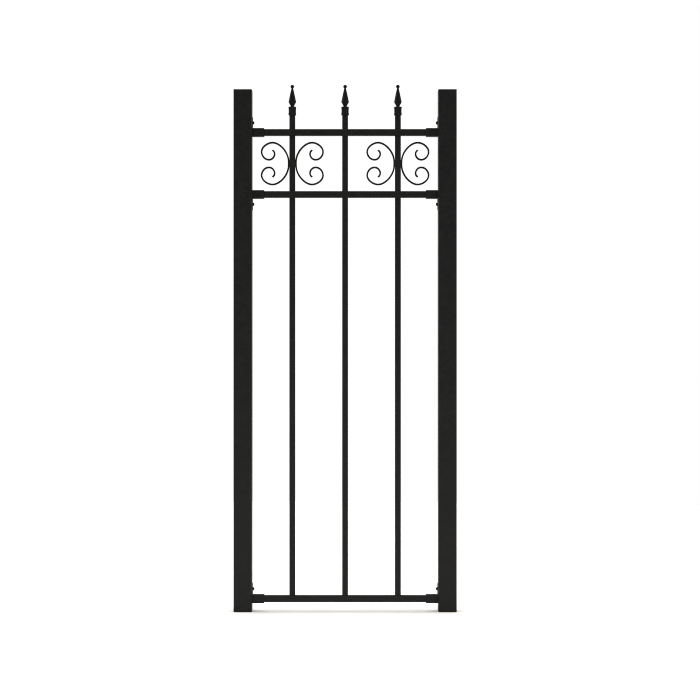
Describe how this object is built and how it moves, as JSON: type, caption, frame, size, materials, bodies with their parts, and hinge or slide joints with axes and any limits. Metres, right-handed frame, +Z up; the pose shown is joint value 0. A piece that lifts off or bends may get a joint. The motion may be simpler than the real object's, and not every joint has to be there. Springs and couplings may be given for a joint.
{
  "type": "garden gate",
  "caption": "Ornamental metal garden gate leaf: square uprights, bracketed rails, pickets with ball-tipped spear finials, and back-to-back C-scrolls between the upper rails",
  "frame": {"origin": "midway between the two uprights, front to back and side to side, level with their lower ends", "axes": "+X from the left upright to the right one seen from the front, -Y the front face, +Z up"},
  "size_m": [0.781, 0.064, 1.8485],
  "materials": {
    "tube_coat": "satin black powder coat on square tube",
    "plug_coat": "satin black powder coat on pressed end plugs",
    "casting_coat": "satin black powder coat on castings",
    "bar_coat": "satin black powder coat on bent flat bar",
    "bracket_coat": "satin black powder coat on stamped brackets",
    "fastener_black": "black coated screws and rivets"
  },
  "bodies": {
    "root": {"upright_left": "tube_coat", "upright_right": "tube_coat", "top_rail": "tube_coat", "middle_rail": "tube_coat", "bottom_rail": "tube_coat", "picket_left": "tube_coat", "picket_centre": "tube_coat", "picket_right": "tube_coat", "top_plug_left": "plug_coat", "top_plug_right": "plug_coat", "bottom_plug_left": "plug_coat", "bottom_plug_right": "plug_coat", "finial_left": "casting_coat", "finial_centre": "casting_coat", "finial_right": "casting_coat", "scroll_left_outer": "bar_coat", "scroll_left_inner": "bar_coat", "scroll_right_inner": "bar_coat", "scroll_right_outer": "bar_coat", "bracket_top_left": "bracket_coat", "bracket_top_right": "bracket_coat", "bracket_middle_left": "bracket_coat", "bracket_middle_right": "bracket_coat", "bracket_bottom_left": "bracket_coat", "bracket_bottom_right": "bracket_coat", "bracket_screws": "fastener_black", "rail_screws": "fastener_black", "picket_screws": "fastener_black", "scroll_rivets": "fastener_black", "finial_set_screws": "fastener_black"}
  },
  "joints": []
}
